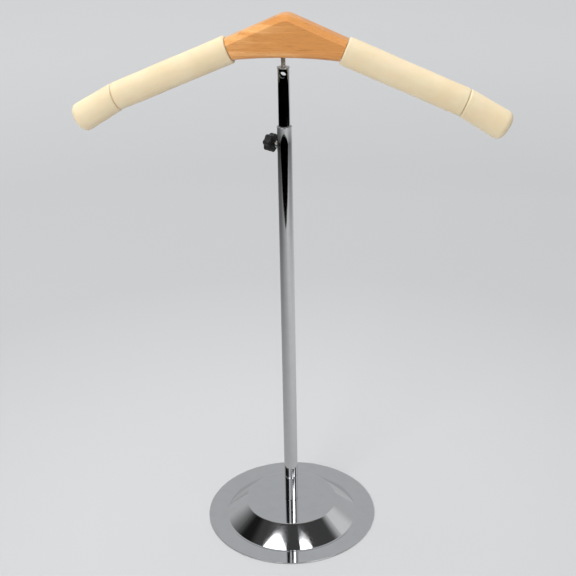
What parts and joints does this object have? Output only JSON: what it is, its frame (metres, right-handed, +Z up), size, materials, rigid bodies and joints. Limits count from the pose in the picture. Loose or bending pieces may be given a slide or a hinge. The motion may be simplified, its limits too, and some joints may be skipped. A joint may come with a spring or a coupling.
{
  "type": "valet stand",
  "caption": "Countertop valet stand: a foam-armed wooden hanger on a telescopic chromed pole, held by a clamp knob on a round dished base.",
  "frame": {"origin": "on the pole's axis, in the plane that the base's rim rests on", "axes": "+Z up along the pole, X along the hanger, and the hanger's front face towards -Y"},
  "size_m": [0.4634, 0.204, 0.6111],
  "materials": {
    "chrome": "bright chrome plate",
    "zinc_steel": "zinc-plated steel",
    "iron": "painted casting",
    "brass": "plain brass",
    "black_plastic": "black moulding",
    "nylon": "natural nylon",
    "wood": "clear lacquer over honey-coloured wood",
    "foam": "cream closed-cell foam"
  },
  "bodies": {
    "stand": {"base_dish": "chrome", "ballast_plate": "iron", "base_bolt": "zinc_steel", "spring_washer": "zinc_steel", "flat_washer": "zinc_steel", "foot_plug": "zinc_steel", "outer_tube": "chrome", "clamp_nut": "chrome"},
    "guide": {"guide_bush": "nylon"},
    "mast": {"inner_tube": "chrome", "top_plug": "zinc_steel", "hanger_stud": "zinc_steel", "block_insert": "brass", "shoulder_block": "wood", "arm_core_left": "wood", "arm_core_right": "wood", "foam_sleeve_left": "foam", "foam_sleeve_right": "foam", "foam_tip_left": "foam", "foam_tip_right": "foam"},
    "pad": {"pressure_pad": "nylon"},
    "knob": {"clamp_knob": "black_plastic", "clamp_screw": "zinc_steel", "knob_cap": "black_plastic"}
  },
  "joints": [
    {"name": "mast_height", "type": "slide", "parent": "stand", "child": "guide", "axis": [0, 0, 1], "range_m": [-0.05, 0.28]},
    {"name": "mast_turn", "type": "hinge", "parent": "guide", "child": "mast", "pos_m": [0, 0, 0.5], "axis": [0, 0, 1], "continuous": true},
    {"name": "knob_advance", "type": "slide", "parent": "stand", "child": "pad", "axis": [-0.8192, 0.5736, 0], "range_m": [0, 0.0025]},
    {"name": "knob_turn", "type": "hinge", "parent": "pad", "child": "knob", "pos_m": [0, 0, 0.472], "axis": [-0.8192, 0.5736, 0], "range_deg": [0, 1080]}
  ],
  "couplings": [
    {"joint": "knob_advance", "follows": "knob_turn", "m_per_rad": 0.00012732}
  ]
}
